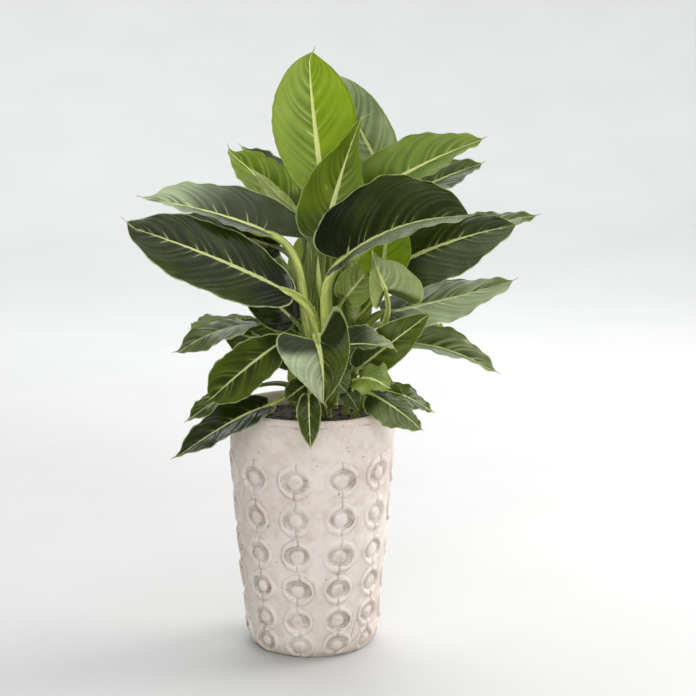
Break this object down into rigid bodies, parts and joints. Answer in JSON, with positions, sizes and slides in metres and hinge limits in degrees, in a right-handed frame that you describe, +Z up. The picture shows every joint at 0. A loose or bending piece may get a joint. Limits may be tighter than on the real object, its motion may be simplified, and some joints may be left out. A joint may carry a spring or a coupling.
{
  "type": "potted dieffenbachia",
  "caption": "Bushy dumb cane with broad pale-ribbed leaves on short canes, growing in a tall tapered clay pot with a relief of linked rings.",
  "frame": {"origin": "centre of the pot's flat underside, where it meets the floor", "axes": "+Z up along the pot's axis, -Y to the front of the plant, +X to its right as seen from the front"},
  "size_m": [0.585, 0.4399, 0.852],
  "materials": {
    "fired_clay": "matt, lime-washed and weathered",
    "potting_soil": "loose bark and peat",
    "cane": "smooth green bark, satin",
    "leaf": "waxy, satin",
    "bright_leaf": "thin and waxy, lets light through",
    "new_leaf": "waxy, satin"
  },
  "bodies": {
    "root": {"cane_back": "cane", "cane_left": "cane", "cane_low_left": "cane", "cane_low_right": "cane", "cane_main": "cane", "cane_right": "cane", "leaf_back_tall": "leaf", "leaf_big_left": "leaf", "leaf_big_right": "leaf", "leaf_bright_back": "bright_leaf", "leaf_broad_left": "leaf", "leaf_centre_pale": "bright_leaf", "leaf_curl_left": "leaf", "leaf_curled_young": "leaf", "leaf_curly": "leaf", "leaf_dark_front": "leaf", "leaf_far_right": "leaf", "leaf_far_tip_right": "leaf", "leaf_front_hanging": "leaf", "leaf_front_small": "leaf", "leaf_little_round": "leaf", "leaf_long_left": "leaf", "leaf_low_centre": "leaf", "leaf_low_left": "leaf", "leaf_low_left_back": "leaf", "leaf_low_right": "leaf", "leaf_low_right_back": "leaf", "leaf_mid_left": "leaf", "leaf_pale_back": "bright_leaf", "leaf_rear_centre": "leaf", "leaf_rear_high": "leaf", "leaf_rear_left_high": "leaf", "leaf_rear_left_low": "leaf", "leaf_rear_low": "leaf", "leaf_rear_right_high": "leaf", "leaf_rear_right_low": "leaf", "leaf_right_low": "leaf", "leaf_right_mid": "leaf", "leaf_right_small": "leaf", "leaf_rolled": "leaf", "leaf_shade_left": "leaf", "leaf_shade_upper": "leaf", "leaf_silver_right": "leaf", "leaf_stem_left": "leaf", "leaf_thin_left": "leaf", "leaf_thin_right": "leaf", "leaf_top": "bright_leaf", "leaf_under_left": "leaf", "leaf_upper_left": "leaf", "leaf_upper_left_back": "leaf", "leaf_upper_right": "leaf", "pot": "fired_clay", "soil": "potting_soil", "spear": "new_leaf"}
  },
  "joints": []
}
